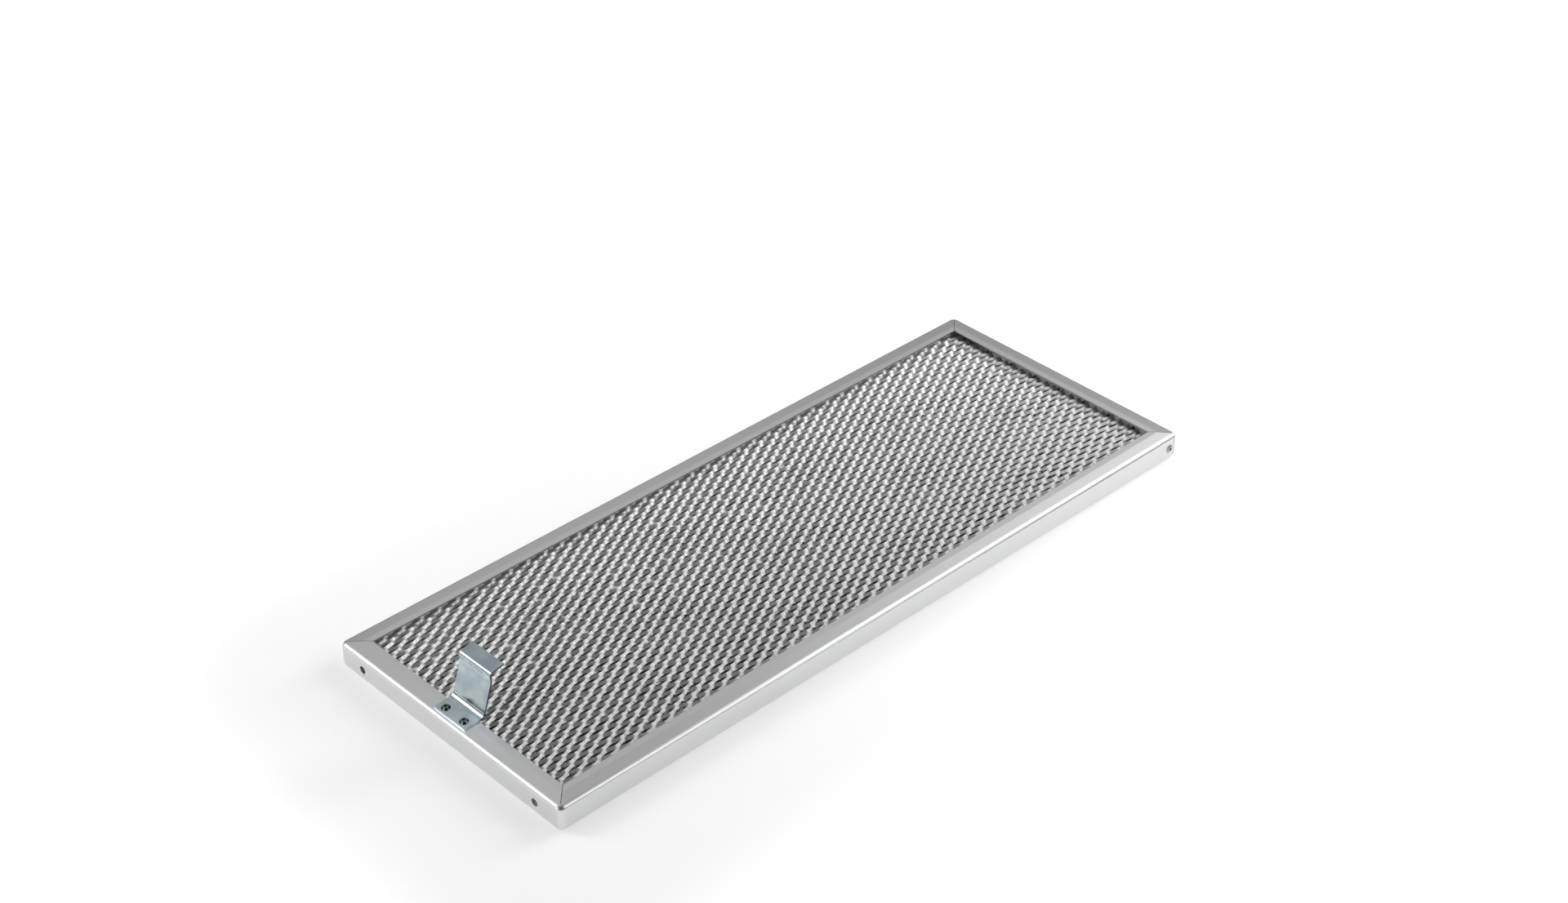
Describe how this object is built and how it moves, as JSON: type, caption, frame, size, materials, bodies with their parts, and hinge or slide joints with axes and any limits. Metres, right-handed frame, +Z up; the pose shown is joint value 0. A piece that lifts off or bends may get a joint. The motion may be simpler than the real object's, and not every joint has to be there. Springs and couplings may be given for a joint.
{
  "type": "cooker hood grease filter",
  "caption": "Flat rectangular grease filter: an aluminium channel frame round layers of expanded metal mesh, with a bent spring latch on one short side.",
  "frame": {"origin": "centre of the filter's footprint, on the plane of the lower lips that it lies on", "axes": "+X along the long side, away from the latch; +Y across; +Z up through the face that carries the latch"},
  "size_m": [0.31, 0.1195, 0.0294],
  "materials": {
    "frame_aluminium": "satin, rolled",
    "mesh_aluminium": "bright, slit and stretched",
    "latch_zinc": "zinc plated, blue passivated",
    "rivet_zinc": "zinc plated",
    "rivet_aluminium": "satin"
  },
  "bodies": {
    "root": {"frame": "frame_aluminium", "corner_rivet": "rivet_aluminium", "latch_spring": "latch_zinc", "latch_rivets": "rivet_zinc", "upper_face_mesh": "mesh_aluminium", "inner_mesh_upper": "mesh_aluminium", "inner_mesh_middle": "mesh_aluminium", "inner_mesh_lower": "mesh_aluminium", "lower_face_mesh": "mesh_aluminium"}
  },
  "joints": []
}
